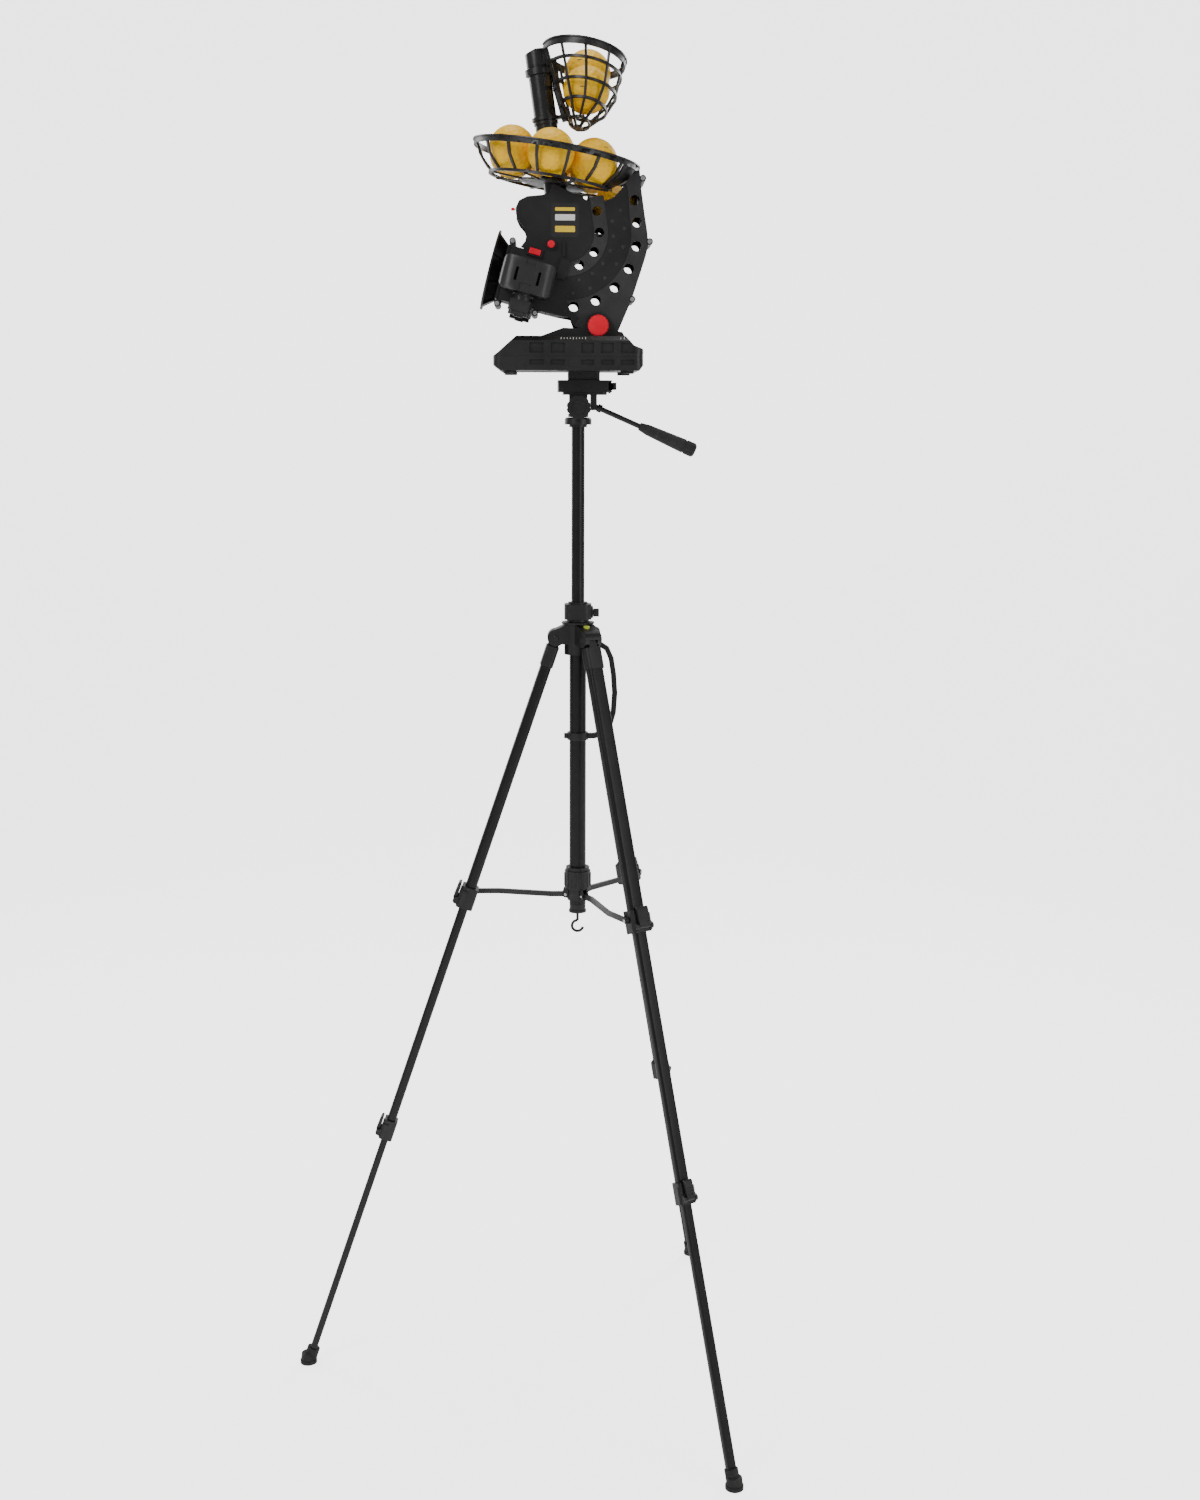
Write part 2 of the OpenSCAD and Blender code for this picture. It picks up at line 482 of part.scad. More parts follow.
module side_holes() {
  for (p = outer_holes) ycyl(p[0], p[1], track_hole_r, -60, 60);
  for (p = inner_holes) ycyl(p[0], p[1], track_hole_r - 0.5, -60, 60);
  ycyl(knob_u, knob_w, 4.05, -60, 60);
  ycyl(47.5, -2, 2.05, -60, 60);
  translate([bp(wheel_s, 0)[0], 0, bp(wheel_s, 0)[1]]) rotate([0, barrel_tilt, 0]) cube([58, 120, 32], center = true);
}
// side is +1 for the rear half and -1 for the front half
module side_solid(side) head() {
  side_plate(side > 0 ? 38 : -40.4, side > 0 ? 40.4 : -38);
  track_bands(side > 0 ? 40 : -41.8, side > 0 ? 41.8 : -40);
  for (p = pip_rows) ycyl(p[0], p[1], 2.8, side > 0 ? 40 : -41.3, side > 0 ? 41.3 : -40);
  for (p = boss_at) ycyl(p[0], p[1], 5, side > 0 ? 0.2 : -42, side > 0 ? 42 : -0.2);
}
module boss_bores() head() for (p = boss_at) {
  ycyl(p[0], p[1], 1.75, -60, 60);
  ycyl(p[0], p[1], 3.5, -45, -39.6);
}
module at_rocker() head() translate([bp(26, 41)[0] - 12, -40, bp(26, 41)[1]]) rotate([0, barrel_tilt, 0]) children();
module shell_front() color(blk) difference() {
  union() {
    side_solid(-1);
    // raised bezel of the rocker and the ring of the feed button
    at_rocker() translate([-12, -4.4, -4]) cube([24, 4.9, 14]);
    head() ycyl(-22, -17, 8.5, -44.2, -39.5);
    // latch block and rib beside the wheel cover
    head() rotate([0, barrel_tilt, 0]) translate([3, -47, -68]) cube([13, 7.5, 30]);
    head() translate([-4, -45, -34]) cube([3, 5.5, 22]);
  }
  boss_bores();
  head() side_holes();
  at_rocker() translate([-10, -6, -2]) cube([20, 5.2, 10]);
  head() ycyl(-22, -17, 5.9, -46, -30);
}
module shell_back() color(blk) difference() { side_solid(1); boss_bores(); head() side_holes(); }
module curved_wall(r0, r1) intersection() {
  difference() { ycyl(0, 0, r1, -38, 38); ycyl(0, 0, r0, -39, 39); }
  along_y(-38.5, 38.5) polygon(sector(-104.5, lean - 0.5, 200));
}
module track_walls() color(dark) head() {
  curved_wall(path_r + 38, path_r + 41);
  curved_wall(path_r - 39, path_r - 36);
  along_y(-38, 38) {
    polygon([cp(0, 38), cp(0, 41), cp(66, 41), cp(66, 38)]);
    polygon([cp(0, -39), cp(0, -36), cp(50, -36), cp(50, -39)]);
    polygon([bp(0, 36), bp(barrel_s, 38), bp(barrel_s, 41), bp(0, 39)]);
    polygon([bp(0, -38), bp(barrel_s, -38), bp(barrel_s, -41), bp(0, -41)]);
    polygon([[-57, 50], [27, 53], [27, 56], [-57, 53]]);
    polygon([[12, -121], [15, -121], [19, -134], [16, -135]]);
    polygon([[84, -84], [87, -84], [74, -134], [71, -134]]);
  }
}
module shell_screws() color([0.75, 0.75, 0.77]) head() for (p = boss_at) {
  ycyl(p[0], p[1], 1.6, -40.6, 30);
  difference() {
    ycyl(p[0], p[1], 3.2, -42.6, -39.7);
    translate([p[0] - 0.4, -43, p[1] - 2.2]) cube([0.8, 1.4, 4.4]);
    translate([p[0] - 2.2, -43, p[1] - 0.4]) cube([4.4, 1.4, 0.8]);
  }
}
module muzzle() color(blk) {
  barrel(barrel_s + 0.2) {
    difference() {
      union() {
        translate([-41, -41.8, 0]) cube([82, 83.6, 4]);
        translate([0, 0, 4]) cylinder(r1 = 42.5, r2 = 55, h = 16);
        translate([0, 0, 20]) cylinder(r = flange_r, h = 3);
      }
      translate([0, 0, -1]) cylinder(r = 38, h = 6);
      translate([0, 0, 4]) cylinder(r1 = 38, r2 = 52, h = 19.1);
    }
    for (a = [22.5:45:337.5]) rotate([0, 0, a]) rotate([90, 0, 0]) translate([0, 0, -1]) linear_extrude(2) polygon([[42.8, 4.5], [45.5, 4], [59.5, 20.2], [55.2, 20.2]]);
  }
}
module wheel() difference() {
  union() {
    translate([0, 0, -wheel_w/2]) cylinder(r = wheel_r - 2, h = wheel_w);
    translate([0, 0, -wheel_w/2 + 2]) cylinder(r = wheel_r, h = wheel_w - 4);
  }
  translate([0, 0, -wheel_w]) cylinder(r = 3.05, h = 2 * wheel_w);
  for (z = [-wheel_w/2 - 1, wheel_w/2 - 5]) translate([0, 0, z]) difference() {
    cylinder(r = wheel_r - 8, h = 6);
    translate([0, 0, -1]) cylinder(r = 9, h = 8);
  }
  for (z = [-7, 0, 7]) translate([0, 0, z - 0.8]) difference() {
    cylinder(r = wheel_r + 1, h = 1.6);
    translate([0, 0, -1]) cylinder(r = wheel_r - 1.2, h = 4);
  }
}
module wheel_front() color([0.16, 0.16, 0.17]) wheel_at(-1) wheel();
module wheel_back() color([0.16, 0.16, 0.17]) wheel_at(1) wheel();
module wheel_cover() difference() {
  intersection() {
    translate([0, 0, -24]) linear_extrude(48) polygon([[-40, -24], [40, -24], [40, 24], [36, 33], [27, 39.5], [-27, 39.5], [-36, 33], [-40, 24]]);
    along_y(-30, 50) polygon(rrect(80, 48, 8, 4));
  }
  translate([0, 0, -17]) linear_extrude(34) polygon([[-37, -30], [37, -30], [37, 22], [33.5, 30], [25, 36.8], [-25, 36.8], [-33.5, 30], [-37, 22]]);
  translate([0, 0, -30]) cylinder(r = 4, h = 20);
  for (x = [-17, 17]) translate([x - 2, 34, -11]) cube([4, 10, 20]);
  translate([-9, 37.4, -25]) cube([18, 6, 13]);
  translate([-7, 37.8, 16]) cube([16, 6, 9]);
  for (x = [-43, 38.8]) translate([x, -8, -9]) cube([4.2, 18, 18]);
}
module wheel_covers() color(dark) { wheel_at(1) wheel_cover(); wheel_at(-1) mirror([0, 1, 0]) wheel_cover(); }
module wheel_motor() {
  translate([0, 0, -34]) cylinder(r = 3, h = 48);
  translate([0, 0, -35]) cylinder(r = 13.5, h = 10.8);
  translate([0, 0, -29.5]) linear_extrude(3) polygon(rrect(34, 24, 5));
  translate([0, 0, -52]) difference() {
    cylinder(r = 18, h = 17.2);
    translate([-30, 14, -1]) cube([60, 20, 20]);
    translate([-30, -34, -1]) cube([60, 20, 20]);
  }
  translate([0, 0, -58]) linear_extrude(6.2) polygon(rrect(32, 22, 5));
  translate([0, 0, -60]) cylinder(r = 7, h = 3);
}
module wheel_motors() color(dark) { wheel_at(1) wheel_motor(); wheel_at(-1) mirror([0, 1, 0]) wheel_motor(); }
module power_switch() color([0.85, 0.05, 0.08]) at_rocker() translate([0, -3.6, 3]) {
  intersection() {
    translate([-9, -2.8, -4.4]) cube([18, 4, 8.8]);
    translate([0, 10, -5]) difference() { cylinder(r = 15, h = 10); translate([0, 0, -1]) cylinder(r = 5, h = 12); }
  }
}
module feed_button() color([0.85, 0.05, 0.08]) head() {
  ycyl(-22, -17, 5.5, -48, -38.5);
  ycyl(-22, -17, 4.2, -48.8, -48);
}
module ball_gate() color(grey) head() {
  ycyl(47.5, -2, 2, -40.3, 40.3);
  ycyl(47.5, -2, 2.9, -37.5, 37.5);
  translate([49, -30, -3.5]) cube([24, 60, 3]);
}
module front_lamp() color([0.9, 0.1, 0.1]) head() translate([-75.2, -39.2, 34]) rotate([0, -90, 0]) {
  cylinder(r = 1.1, h = 2);
  translate([0, 0, 2]) cylinder(r = 2.3, h = 3);
  translate([0, 0, 5]) sphere(r = 2.3);
}

// ---------- cages and balls ----------
module tray_frame() translate([col_x - 33, 0, 1977]) rotate([0, tray_tilt, 0]) children();
function bowl(d) = [[tray_r - 2.2 - d, -3], [122 - d, -9], [116.5 - d, -22], [106 - d * 0.7, -34 + d * 0.7], [95 - d * 0.3, -43 + d * 0.8]];
function bowl_strip(d) = concat(bowl(0), [for (j = [4:-1:0]) bowl(d)[j]]);
module ball_tray() color(dark) difference() {
  tray_frame() union() {
    rotate_extrude($fn = 96) polygon([[tray_r - 4.5, 0], [tray_r - 4.5, -8.5], [tray_r - 2, -8.5], [tray_r - 1.5, -2], [tray_r + 0.5, -1.4], [tray_r + 0.5, 0.6], [tray_r - 4, 0.6]]);
    rotate_extrude($fn = 96) polygon([[93, -45.5], [98, -45.5], [98, -41.5], [93, -41.5]]);
    for (i = [2:14]) rotate([0, 0, 8.7 + 22.5 * i - 1.1]) rotate_extrude(angle = 2.2) polygon(bowl_strip(3.6));
    rotate([0, 0, -33]) rotate_extrude(angle = 66) polygon(bowl_strip(3));
    translate([0, 0, -47.5]) cylinder(r = 50, h = 2.5);
    for (i = [1:6]) rotate([0, 0, 8.7 + 11.25 + 45 * i]) translate([47, -2.2, -47.5]) cube([48, 4.4, 2.5]);
    for (s = [-1, 1]) translate([22, s * 44 - 1.5, -47.5]) cube([63, 3, 2.5]);
  }
  // the post's hole and the outlet over the feed chute
  post_frame() translate([0, 0, -2]) cylinder(r = 17.3, h = 100);
  head() translate([cp(20, 0)[0], 0, cp(20, 0)[1]]) rotate([0, -lean, 0]) cylinder(r = 36.5, h = 45);
}
module basket_post() color(grey) translate([col_x, 0, 0]) {
  translate([-33.9, 0, 1913.4]) rotate([0, -8, 0]) difference() {
    union() {
      cylinder(r = 17, h = 190);
      translate([0, 0, 28]) cylinder(r = 21, h = 4);
      translate([0, 0, 106]) cylinder(r = 18.6, h = 4);
      translate([0, 0, 190]) cylinder(r = 17.8, h = 24);
      translate([0, 0, 0]) cylinder(r = 19.5, h = 6);
    }
    translate([-40, -40, 203]) rotate([0, -16, 0]) cube([90, 80, 40]);
    translate([0, 0, -1]) cylinder(r = 14.5, h = 199);
    translate([-40, -40, -9]) rotate([0, 8, 0]) cube([90, 80, 10]);
  }
}
module basket_frame() translate([col_x + 9, 0, 2120.5]) rotate([-8, 0, 0]) rotate([0, basket_tilt, 0]) children();
hoops = [[0, 64, 80, 0], [5, 57, 79, -28], [10, 49, 73, -56], [12, 36, 60, -80], [9, 17, 36, -102]];
module hoop(c, rx, ry, z, w, h) translate([0, 0, z - h/2]) linear_extrude(h) difference() { polygon(oval(c, rx, ry)); polygon(oval(c, rx - w, ry - w)); }
function hp(k, a) = [hoops[k][0] + (hoops[k][1] - 1.8) * cos(a), (hoops[k][2] - 1.8) * sin(a), hoops[k][3]];
module post_frame() translate([col_x - 33.9, 0, 1913.4]) rotate([0, -8, 0]) children();
module upper_basket() color(dark) difference() {
  union() {
    // clips round the post, a back plate and the thin strut beside the post
    post_frame() {
      translate([0, 0, 112]) cylinder(r = 20.5, h = 5);
      translate([0, 0, 178]) cylinder(r = 21, h = 9);
      translate([8, -7, 112.2]) cube([24, 14, 4.6]);
      translate([8, -14, 178.2]) cube([20, 28, 20]);
    }
    bar([col_x - 19, 0, 2024], [col_x - 33, 0, 2072], 5.6, 8);
    bar([col_x - 33, 0, 2072], [col_x - 36, 0, 2096], 5.6, 8);
    basket_cage();
  }
  post_frame() {
    translate([0, 0, -2]) cylinder(r = 17.3, h = 190.4);
    translate([0, 0, 188]) cylinder(r = 18.2, h = 40);
  }
}
module basket_cage() {
  basket_frame() {
    hoop(0, 65.5, 81.5, -1.2, 4.6, 2.4);
    hoop(0, 64, 80, -5.5, 3, 11);
    for (k = [1:4]) hoop(hoops[k][0], hoops[k][1], hoops[k][2], hoops[k][3], 3.6, 4);
    for (k = [0:3], i = [0:9]) bar(hp(k, 18 + 36 * i) + [0, 0, k == 0 ? -3 : 0], hp(k + 1, 18 + 36 * i), rod_r, 6);
    translate([8, 0, -111]) linear_extrude(3) polygon(oval(0, 7, 14));
    for (i = [0:4]) bar(hp(4, 18 + 72 * i), [8 + 4.5 * cos(18 + 72 * i), 10 * sin(18 + 72 * i), -109.6], rod_r, 6);
  }
}
module ball() difference() { sphere(r = ball_r, $fn = 64); sphere(r = ball_r - 2.4, $fn = 64); }
ring_a = [-40, -96, -152, 152, 96, 40];
module training_balls() color([1, 0.82, 0.05]) {
  tray_frame() for (a = ring_a) rotate([0, 0, a]) translate([75.5, 0, -9.2]) ball();
  head() translate([cp(27, 0)[0], 0, cp(27, 0)[1]]) ball();
  basket_frame() { translate([12, -20, -58]) ball(); translate([8, 37, -15]) ball(); }
}

shoulder();
outer_column_tube();
column_end_plug();
weight_hook();
carry_handle();
bubble_level();
column_lock_collar();
column_lock_knob();
brace_hub();
brace_arm_left();
brace_arm_front();
brace_arm_rear();
leg_left_upper();
leg_left_upper_lever();
leg_left_middle();
leg_left_lower_lever();
leg_left_lower();
leg_front_upper();
leg_front_upper_lever();
leg_front_middle();
leg_front_lower_lever();
leg_front_lower();
leg_rear_upper();
leg_rear_upper_lever();
leg_rear_middle();
leg_rear_lower_lever();
leg_rear_lower();
inner_column_tube();
pan_base();
pan_body();
tilt_head();
tilt_lock_knob();
camera_plate();
plate_lever();
pan_handle_rod();
pan_handle_grip();
base_lower_shell();
base_upper_shell();
base_feet();
battery_door();
battery_pack();
tilt_saddle();
tilt_knob();
shell_front();
shell_back();
track_walls();
shell_screws();
muzzle();
wheel_front();
wheel_back();
wheel_covers();
wheel_motors();
ball_tray();
basket_post();
upper_basket();
training_balls();
power_switch();
feed_button();
ball_gate();
front_lamp();
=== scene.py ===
import math

import bmesh
import bpy
import numpy as np
from mathutils import Matrix, Vector


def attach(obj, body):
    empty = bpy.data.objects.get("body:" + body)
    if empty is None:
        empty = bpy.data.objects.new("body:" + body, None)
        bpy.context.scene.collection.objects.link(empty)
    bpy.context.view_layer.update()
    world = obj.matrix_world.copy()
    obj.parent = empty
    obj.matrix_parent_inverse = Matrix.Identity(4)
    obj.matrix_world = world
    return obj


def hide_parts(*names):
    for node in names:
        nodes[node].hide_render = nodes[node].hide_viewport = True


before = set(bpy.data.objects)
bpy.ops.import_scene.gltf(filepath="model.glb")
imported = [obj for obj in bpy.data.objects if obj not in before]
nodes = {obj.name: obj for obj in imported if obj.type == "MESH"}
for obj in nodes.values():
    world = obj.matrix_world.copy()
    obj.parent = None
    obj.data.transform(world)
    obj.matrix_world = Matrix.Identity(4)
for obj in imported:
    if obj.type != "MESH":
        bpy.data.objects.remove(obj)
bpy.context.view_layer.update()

LEG_LEN, SPREAD, HINGE_R = 1.309, math.radians(18.77), 0.035
FOOT_R = HINGE_R + LEG_LEN * math.sin(SPREAD)
HINGE_Z = LEG_LEN * math.cos(SPREAD)
COL_X = FOOT_R / 4
HEAD = Vector((COL_X - 0.020, 0, 1.857))
AZ = {"left": math.pi, "front": -math.pi / 3, "rear": math.pi / 3}


# ---------------------------------------------------------------- materials
def new_mat(name):
    m = bpy.data.materials.new(name)
    m.use_nodes = True
    nt = m.node_tree
    b = next(n for n in nt.nodes if n.type == "BSDF_PRINCIPLED")
    return m, nt, b


def coords(nt, scale=(1, 1, 1), rot=(0, 0, 0)):
    tc = nt.nodes.new("ShaderNodeTexCoord")
    mp = nt.nodes.new("ShaderNodeMapping")
    mp.inputs["Scale"].default_value = scale
    mp.inputs["Rotation"].default_value = rot
    nt.links.new(tc.outputs["Object"], mp.inputs["Vector"])
    return mp.outputs["Vector"]


def noise(nt, vec, scale, detail=4.0, rough=0.55):
    n = nt.nodes.new("ShaderNodeTexNoise")
    n.inputs["Scale"].default_value = scale
    n.inputs["Detail"].default_value = detail
    n.inputs["Roughness"].default_value = rough
    nt.links.new(vec, n.inputs["Vector"])
    return n.outputs["Fac"]


def remap(nt, fac, a, b, lo=0.3, hi=0.7):
    r = nt.nodes.new("ShaderNodeMapRange")
    r.inputs["From Min"].default_value = lo
    r.inputs["From Max"].default_value = hi
    r.inputs["To Min"].default_value = a
    r.inputs["To Max"].default_value = b
    nt.links.new(fac, r.inputs["Value"])
    return r.outputs["Result"]


def mix_color(nt, fac, c0, c1):
    m = nt.nodes.new("ShaderNodeMix")
    m.data_type = "RGBA"
    m.inputs[6].default_value = (*c0, 1)
    m.inputs[7].default_value = (*c1, 1)
    nt.links.new(fac, m.inputs[0])
    return m.outputs[2]


def bump(nt, b, height, strength, dist, below=None):
    n = nt.nodes.new("ShaderNodeBump")
    n.inputs["Strength"].default_value = strength
    n.inputs["Distance"].default_value = dist
    nt.links.new(height, n.inputs["Height"])
    if below is not None:
        nt.links.new(below, n.inputs["Normal"])
    nt.links.new(n.outputs["Normal"], b.inputs["Normal"])
    return n.outputs["Normal"]


def plastic(name, c0, c1, r0, r1, grain=1800.0, depth=0.00006, strength=0.35, spec=0.5, wear=0.04, coat=0.0):
    """Moulded plastic: fine spark-eroded grain, slight flow mottle, handling haze and lighter worn edges."""
    m, nt, b = new_mat(name)
    v = coords(nt)
    mott = noise(nt, v, 55.0, 5.0, 0.6)
    col = mix_color(nt, remap(nt, mott, 0, 1), c0, c1)
    geo = nt.nodes.new("ShaderNodeNewGeometry")
    edge = remap(nt, geo.outputs["Pointiness"], 0, 0.8, 0.56, 0.7)
    patch = noise(nt, v, 130.0, 3.0, 0.7)
    mul = nt.nodes.new("ShaderNodeMath")
    mul.operation = "MULTIPLY"
    nt.links.new(edge, mul.inputs[0])
    nt.links.new(remap(nt, patch, 0, 1, 0.42, 0.62), mul.inputs[1])
    worn = nt.nodes.new("ShaderNodeMix")
    worn.data_type = "RGBA"
    worn.inputs[7].default_value = (c1[0] + wear, c1[1] + wear, c1[2] + wear, 1)
    nt.links.new(col, worn.inputs[6])
    nt.links.new(mul.outputs[0], worn.inputs[0])
    nt.links.new(worn.outputs[2], b.inputs["Base Color"])
    haze = noise(nt, v, 18.0, 6.0, 0.65)
    nt.links.new(remap(nt, haze, r0, r1), b.inputs["Roughness"])
    b.inputs["Specular IOR Level"].default_value = spec
    b.inputs["Coat Weight"].default_value = coat
    b.inputs["Coat Roughness"].default_value = 0.18
    fine = noise(nt, v, grain, 2.0, 0.5)
    n1 = bump(nt, b, fine, strength, depth)
    bump(nt, b, noise(nt, v, 22.0, 2.0, 0.5), 0.12, 0.0008, n1)
    return m


def anodised(name, c0, c1, axis_scale):
    """Black anodised tube: drawn lines along the tube, satin sheen and light rubbing from the telescoping."""
    m, nt, b = new_mat(name)
    v = coords(nt, axis_scale)
    lines = noise(nt, v, 420.0, 3.0, 0.6)
    v2 = coords(nt)
    rub = noise(nt, v2, 28.0, 6.0, 0.7)
    nt.links.new(mix_color(nt, remap(nt, rub, 0, 1, 0.35, 0.75), c0, c1), b.inputs["Base Color"])
    nt.links.new(remap(nt, lines, 0.27, 0.4), b.inputs["Roughness"])
    b.inputs["Metallic"].default_value = 0.35
    b.inputs["Specular IOR Level"].default_value = 0.55
    bump(nt, b, lines, 0.12, 0.00004)
    return m


def steel(name, c, r0, r1):
    m, nt, b = new_mat(name)
    v = coords(nt)
    n = noise(nt, v, 900.0, 4.0, 0.6)
    nt.links.new(mix_color(nt, remap(nt, n, 0, 1), [x * 0.8 for x in c], c), b.inputs["Base Color"])
    nt.links.new(remap(nt, noise(nt, v, 160.0), r0, r1), b.inputs["Roughness"])
    b.inputs["Metallic"].default_value = 1.0
    bump(nt, b, n, 0.15, 0.00005)
    return m


def rubber(name, c0, c1, r0=0.55, r1=0.75):
    m, nt, b = new_mat(name)
    v = coords(nt)
    dust = noise(nt, v, 75.0, 6.0, 0.7)
    nt.links.new(mix_color(nt, remap(nt, dust, 0, 1, 0.4, 0.75), c0, c1), b.inputs["Base Color"])
    nt.links.new(remap(nt, noise(nt, v, 30.0), r0, r1), b.inputs["Roughness"])
    b.inputs["Specular IOR Level"].default_value = 0.35
    bump(nt, b, noise(nt, v, 1300.0, 3.0, 0.6), 0.3, 0.0001)
    return m


def gloss_red(name, c0, c1):
    m, nt, b = new_mat(name)
    v = coords(nt)
    nt.links.new(mix_color(nt, remap(nt, noise(nt, v, 40.0), 0, 1), c0, c1), b.inputs["Base Color"])
    nt.links.new(remap(nt, noise(nt, v, 25.0, 6.0), 0.2, 0.34), b.inputs["Roughness"])
    b.inputs["Subsurface Weight"].default_value = 0.06
    b.inputs["Subsurface Radius"].default_value = (0.004, 0.001, 0.001)
    bump(nt, b, noise(nt, v, 700.0, 2.0), 0.12, 0.00005)
    return m


def foam(name):
    """Practice ball: saturated yellow skin with fine pores, faint scuffs and a soft sheen."""
    m, nt, b = new_mat(name)
    v = coords(nt)
    mott = noise(nt, v, 70.0, 5.0, 0.6)
    base = mix_color(nt, remap(nt, mott, 0, 1), (0.95, 0.5, 0.0), (1.0, 0.6, 0.0))
    scuff = remap(nt, noise(nt, v, 34.0, 8.0, 0.72), 0, 0.5, 0.6, 0.82)
    mx = nt.nodes.new("ShaderNodeMix")
    mx.data_type = "RGBA"
    mx.inputs[7].default_value = (0.8, 0.4, 0.001, 1)
    nt.links.new(base, mx.inputs[6])
    nt.links.new(scuff, mx.inputs[0])
    nt.links.new(mx.outputs[2], b.inputs["Base Color"])
    nt.links.new(remap(nt, mott, 0.42, 0.58), b.inputs["Roughness"])
    b.inputs["Subsurface Weight"].default_value = 0.05
    b.inputs["Subsurface Radius"].default_value = (0.006, 0.004, 0.001)
    b.inputs["Specular IOR Level"].default_value = 0.4
    bump(nt, b, noise(nt, v, 1500.0, 3.0, 0.6), 0.22, 0.0001)
    return m


def flat_ink(name, c, r=0.5):
    m, nt, b = new_mat(name)
    v = coords(nt)
    n = noise(nt, v, 500.0, 4.0)
    nt.links.new(mix_color(nt, remap(nt, n, 0, 1), [x * 0.9 for x in c], c), b.inputs["Base Color"])
    nt.links.new(remap(nt, n, r, r + 0.12), b.inputs["Roughness"])
    bump(nt, b, n, 0.1, 0.00004)
    return m


M = {}
M["shell"] = plastic("shell_black", (0.0075, 0.0068, 0.0078), (0.013, 0.0118, 0.0132), 0.33, 0.46, wear=0.03)
M["base"] = plastic("base_black", (0.0055, 0.0055, 0.0058), (0.0105, 0.0105, 0.011), 0.36, 0.5, grain=1500.0, wear=0.008)
# cover: the black plastic of the wheel covers, motors and gate made lighter grey than the shell, a painted highlight
# standing in for the light on them
M["cover"] = plastic("cover_black_painted_highlight", (0.016, 0.016, 0.0168), (0.025, 0.0245, 0.026), 0.3, 0.42, wear=0.05)
M["cage"] = plastic("cage_black", (0.0045, 0.0045, 0.0048), (0.009, 0.009, 0.0094), 0.3, 0.42, grain=1400.0, wear=0.02)
M["inner"] = plastic("track_inner_black", (0.008, 0.008, 0.0085), (0.014, 0.014, 0.0148), 0.45, 0.6, wear=0.02)
M["knob"] = plastic("stand_plastic", (0.005, 0.005, 0.0052), (0.0098, 0.0098, 0.0102), 0.34, 0.46, grain=1600.0, wear=0.025)
M["plate"] = plastic("plate_dark", (0.009, 0.009, 0.0095), (0.015, 0.015, 0.0156), 0.4, 0.55, wear=0.025)
# band: lighter grey for the shell's raised bands and pips, a painted highlight
M["band"] = plastic("shell_band_painted_highlight", (0.022, 0.021, 0.0225), (0.034, 0.0325, 0.035), 0.34, 0.46, wear=0.03)
M["tube"] = anodised("tube_anodised", (0.0045, 0.0045, 0.0048), (0.0095, 0.0095, 0.01), (6, 6, 0.15))
M["brace"] = anodised("brace_painted", (0.02, 0.02, 0.0205), (0.045, 0.0445, 0.044), (0.3, 0.3, 6))
M["post"] = plastic("post_dark", (0.011, 0.011, 0.0115), (0.018, 0.0178, 0.0186), 0.2, 0.32, grain=900.0, strength=0.15, wear=0.03)
M["rubber"] = rubber("rubber_black", (0.012, 0.012, 0.012), (0.028, 0.027, 0.026))
M["tyre"] = rubber("wheel_rubber", (0.03, 0.03, 0.031), (0.055, 0.053, 0.05))
M["red"] = gloss_red("red_gloss", (0.78, 0.002, 0.02), (0.9, 0.006, 0.035))
M["zinc"] = steel("zinc_screw", (0.72, 0.72, 0.74), 0.22, 0.38)
M["rivet"] = steel("rivet_steel", (0.78, 0.77, 0.75), 0.2, 0.35)
M["darkmetal"] = steel("dark_metal", (0.05, 0.05, 0.052), 0.35, 0.5)
M["level"] = gloss_red("level_vial", (0.5, 0.62, 0.03), (0.62, 0.75, 0.06))
M["cell"] = flat_ink("cell_wrap", (0.6, 0.4, 0.08), 0.3)
M["foam"] = foam("ball_foam")
M["ink_white"] = flat_ink("ink_white", (0.8, 0.8, 0.78))
M["ink_yellow"] = flat_ink("ink_yellow", (0.85, 0.6, 0.03))
M["ink_dark"] = flat_ink("ink_dark", (0.02, 0.019, 0.02), 0.35)
M["ink_brown"] = flat_ink("ink_mark", (0.12, 0.075, 0.01))

USE = {
    "shell": ["shell_front", "shell_back"],
    "base": ["base_lower_shell", "base_upper_shell", "tilt_saddle"],
    "cover": ["wheel_covers", "wheel_motors", "ball_gate"],
    "cage": ["ball_tray", "upper_basket", "muzzle"],
    "inner": ["track_walls"],
    "knob": ["shoulder", "column_end_plug", "carry_handle", "column_lock_collar", "column_lock_knob", "pan_base", "pan_body",
             "tilt_head", "plate_lever", "tilt_lock_knob", "brace_hub"]
    + [f"leg_{n}_{k}_lever" for n in AZ for k in ("upper", "lower")],
    "plate": ["camera_plate", "battery_door"],
    "tube": ["outer_column_tube", "inner_column_tube"] + [f"leg_{n}_{k}" for n in AZ for k in ("upper", "middle", "lower")],
    "brace": [f"brace_arm_{n}" for n in AZ],
    "post": ["basket_post"],
    "rubber": ["pan_handle_grip", "base_feet"],
    "tyre": ["wheel_front", "wheel_back"],
    "red": ["tilt_knob", "power_switch", "feed_button", "front_lamp"],
    "zinc": ["shell_screws"],
    "darkmetal": ["weight_hook", "pan_handle_rod"],
    "level": ["bubble_level"],
    "cell": ["battery_pack"],
    "foam": ["training_balls"],
}
for key, names in USE.items():
    for n in names:
        nodes[n].data.materials.clear()
        nodes[n].data.materials.append(M[key])


def paint(node, test, *mats):
    """Gives each face of a node one of several materials by where the face is."""
    me = nodes[node].data
    me.materials.clear()
    for m in mats:
        me.materials.append(m)
    for p in me.polygons:
        p.material_index = test(p.center)


